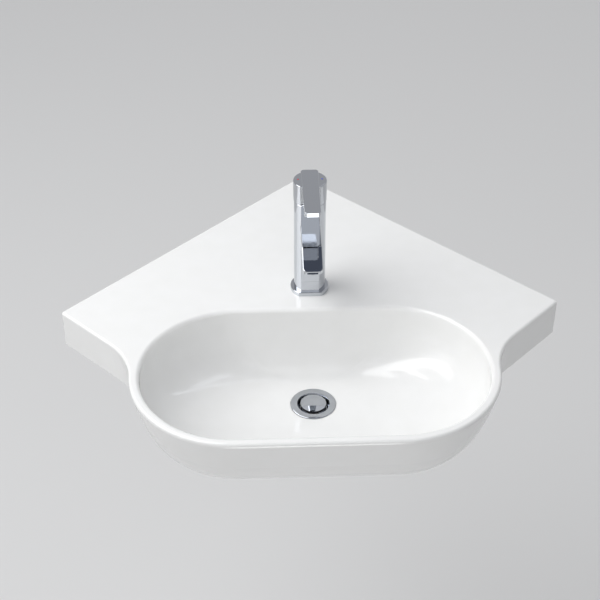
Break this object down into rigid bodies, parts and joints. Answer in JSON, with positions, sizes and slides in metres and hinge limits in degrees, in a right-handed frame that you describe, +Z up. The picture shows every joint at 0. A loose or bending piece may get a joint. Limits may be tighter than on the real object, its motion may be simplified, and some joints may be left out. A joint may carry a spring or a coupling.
{
  "type": "corner basin with mixer tap",
  "caption": "Glazed corner basin with a wide rounded bowl, a lever mixer tap that lifts and swivels, a spring-up push waste and hidden wall fixings.",
  "frame": {"origin": "the deck-top corner where the two walls meet", "axes": "+X to the right seen from the front, +Y into the corner of the room, +Z up; alike on both sides of X = 0"},
  "size_m": [0.7158, 0.6464, 0.381],
  "materials": {
    "glaze": "white gloss glaze",
    "chrome": "polished",
    "zinc_steel": "zinc plated",
    "stainless": "drawn",
    "brass": "turned",
    "nylon": "moulded",
    "cartridge_plastic": "moulded",
    "core_plastic": "moulded",
    "disc_ceramic": "lapped",
    "black_rubber": "moulded",
    "white_rubber": "moulded",
    "hot_enamel": "gloss",
    "cold_enamel": "gloss"
  },
  "bodies": {
    "fixed_set": {"basin": "glaze", "hanger_bolts": "zinc_steel", "fixing_sleeves": "nylon", "fixing_washers": "zinc_steel", "fixing_nuts": "zinc_steel", "mixer_foot": "chrome", "foot_seal": "black_rubber", "mixer_body": "chrome", "clamp_seal": "black_rubber", "clamp_plate": "zinc_steel", "clamp_stud": "brass", "clamp_nut": "brass", "cartridge_housing": "cartridge_plastic", "port_seals": "black_rubber", "fixed_disc": "disc_ceramic", "retaining_nut": "brass", "dome_cover": "chrome", "aerator_housing": "chrome", "aerator_core": "core_plastic", "aerator_washer": "black_rubber", "waste_body": "chrome", "waste_gasket": "white_rubber", "spring_cage": "nylon", "cage_cap": "nylon", "plug_spring": "stainless", "back_seal": "black_rubber", "back_washer": "nylon", "back_nut": "brass"},
    "swivel": {"rotor": "cartridge_plastic", "pivot_pin": "stainless"},
    "lever": {"spindle": "brass", "handle": "chrome", "hot_dot": "hot_enamel", "cold_dot": "cold_enamel", "grub_screw": "stainless", "screw_plug": "core_plastic"},
    "disc": {"moving_disc": "disc_ceramic", "disc_carrier": "cartridge_plastic"},
    "plug": {"plug_cap": "chrome", "plug_seal": "black_rubber", "plunger": "brass"}
  },
  "joints": [
    {"name": "swivel", "type": "hinge", "parent": "fixed_set", "child": "swivel", "pos_m": [0, -0.313, 0.135], "axis": [0, 0, 1], "range_deg": [-45, 45]},
    {"name": "lift", "type": "hinge", "parent": "swivel", "child": "lever", "pos_m": [0, -0.313, 0.135], "axis": [-1, 0, 0], "range_deg": [0, 25]},
    {"name": "disc_slide", "type": "slide", "parent": "swivel", "child": "disc", "axis": [0, -1, 0], "range_m": [0, 0.0079]},
    {"name": "plug_press", "type": "slide", "parent": "fixed_set", "child": "plug", "axis": [0, 0, -1], "range_m": [0, 0.006], "stiffness_N_per_m": 150, "springref_m": -0.02, "deforming": ["plug_spring"]}
  ],
  "couplings": [
    {"joint": "disc_slide", "follows": "lift", "m_per_rad": 0.017858}
  ]
}
